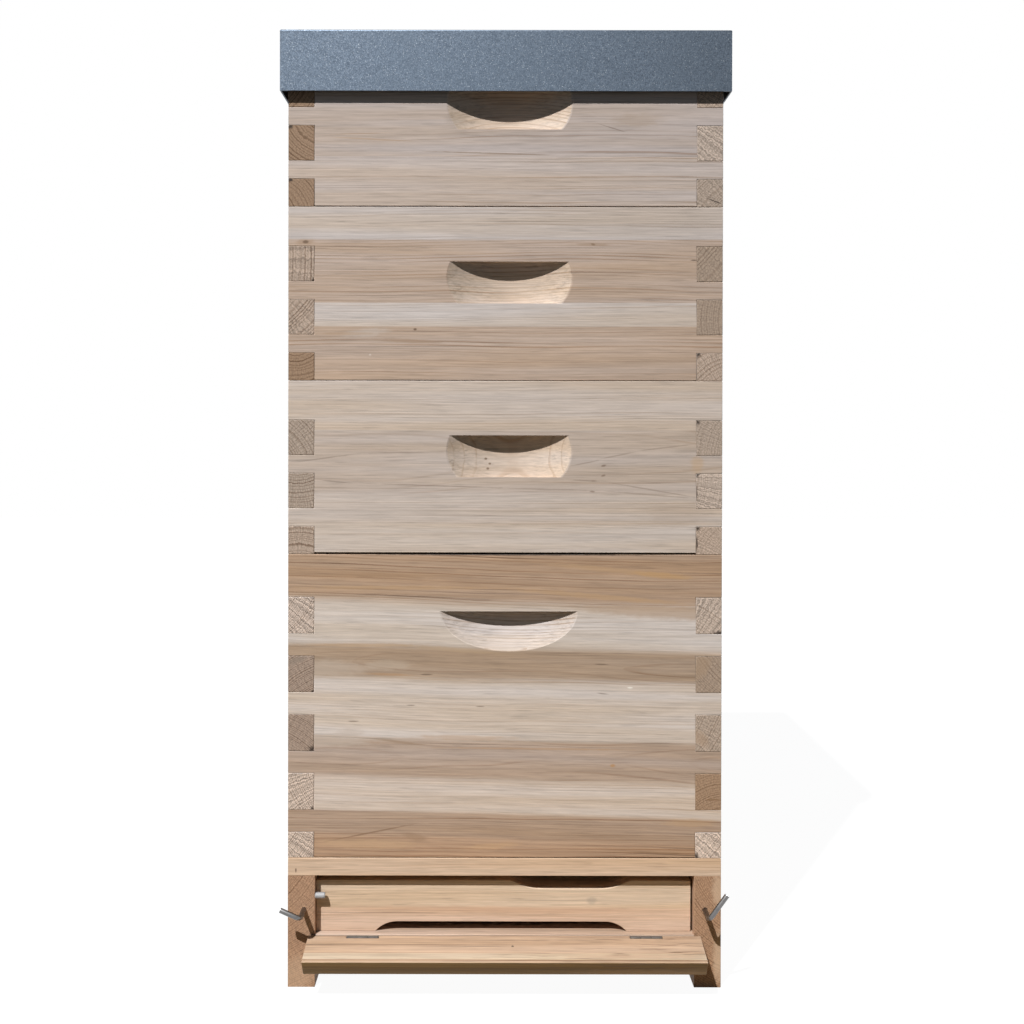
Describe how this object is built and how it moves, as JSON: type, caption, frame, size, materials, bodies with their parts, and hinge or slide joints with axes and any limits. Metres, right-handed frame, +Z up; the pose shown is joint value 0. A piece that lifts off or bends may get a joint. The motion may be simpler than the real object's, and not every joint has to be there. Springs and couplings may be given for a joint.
{
  "type": "beehive",
  "caption": "Wooden beehive: deep brood box, shallow supers with handholds, sheet roof, and a floor with entrance block, folding landing board and turn hooks.",
  "frame": {"origin": "on the ground, under the middle of the bounding box", "axes": "+Z up, the entrance faces -Y, +X to the right of someone who faces the entrance"},
  "size_m": [0.4496, 0.5525, 0.9578],
  "materials": {
    "box_wood": "planed, bare",
    "floor_wood": "planed, bare",
    "frame_wood": "planed, bare",
    "crown_wood": "smooth hardboard",
    "roof_paint": "fine structured paint",
    "zinc_steel": "galvanised",
    "peg_zinc": "galvanised, dull"
  },
  "bodies": {
    "floor": {"left_rail": "floor_wood", "right_rail": "floor_wood", "front_crossbar": "floor_wood", "rear_board": "floor_wood", "front_sill": "floor_wood", "mesh_screen": "zinc_steel", "mesh_battens": "floor_wood", "tray_runners": "floor_wood", "stop_peg": "peg_zinc", "hinge_fixed_leaves": "zinc_steel", "hinge_pins": "zinc_steel"},
    "landing_board": {"landing_board": "floor_wood", "hinge_moving_leaves": "zinc_steel"},
    "left_hook": {"left_hook": "zinc_steel"},
    "right_hook": {"right_hook": "zinc_steel"},
    "entrance_block": {"entrance_block": "floor_wood"},
    "tray": {"tray": "zinc_steel", "tray_rims": "zinc_steel", "tray_pull": "zinc_steel"},
    "brood_box": {"brood_front_board": "box_wood", "brood_back_board": "box_wood", "brood_left_board": "box_wood", "brood_right_board": "box_wood", "brood_top_bars": "frame_wood", "brood_side_bars": "frame_wood", "brood_bottom_bars": "frame_wood"},
    "super_1": {"super_1_front_board": "box_wood", "super_1_back_board": "box_wood", "super_1_left_board": "box_wood", "super_1_right_board": "box_wood", "super_1_top_bars": "frame_wood", "super_1_side_bars": "frame_wood", "super_1_bottom_bars": "frame_wood"},
    "super_2": {"super_2_front_board": "box_wood", "super_2_back_board": "box_wood", "super_2_left_board": "box_wood", "super_2_right_board": "box_wood", "super_2_top_bars": "frame_wood", "super_2_side_bars": "frame_wood", "super_2_bottom_bars": "frame_wood"},
    "super_3": {"super_3_front_board": "box_wood", "super_3_back_board": "box_wood", "super_3_left_board": "box_wood", "super_3_right_board": "box_wood", "super_3_top_bars": "frame_wood", "super_3_side_bars": "frame_wood", "super_3_bottom_bars": "frame_wood", "crown_board": "crown_wood"},
    "roof": {"roof_pan": "roof_paint"}
  },
  "joints": [
    {"name": "landing_board_fold", "type": "hinge", "parent": "floor", "child": "landing_board", "pos_m": [0, -0.23625, 0.05074], "axis": [-1, 0, 0], "range_deg": [0, 102]},
    {"name": "left_hook_turn", "type": "hinge", "parent": "floor", "child": "left_hook", "pos_m": [-0.2015, -0.2338, 0.0779], "axis": [0, 1, 0], "range_deg": [0, 156]},
    {"name": "right_hook_turn", "type": "hinge", "parent": "floor", "child": "right_hook", "pos_m": [0.2015, -0.2338, 0.0779], "axis": [0, -1, 0], "range_deg": [0, 126]},
    {"name": "entrance_block_swing", "type": "hinge", "parent": "floor", "child": "entrance_block", "pos_m": [-0.1807, -0.2254, 0.0528], "axis": [0, 0, 1], "range_deg": [-14, 0]},
    {"name": "tray_slide", "type": "slide", "parent": "floor", "child": "tray", "axis": [0, 1, 0], "range_m": [0, 0.4]},
    {"name": "brood_box_lift", "type": "slide", "parent": "floor", "child": "brood_box", "axis": [0, 0, 1], "range_m": [0, 0.15]},
    {"name": "super_1_lift", "type": "slide", "parent": "brood_box", "child": "super_1", "axis": [0, 0, 1], "range_m": [0, 0.15]},
    {"name": "super_2_lift", "type": "slide", "parent": "super_1", "child": "super_2", "axis": [0, 0, 1], "range_m": [0, 0.15]},
    {"name": "super_3_lift", "type": "slide", "parent": "super_2", "child": "super_3", "axis": [0, 0, 1], "range_m": [0, 0.15]},
    {"name": "roof_lift", "type": "slide", "parent": "super_3", "child": "roof", "axis": [0, 0, 1], "range_m": [0, 0.12]}
  ]
}
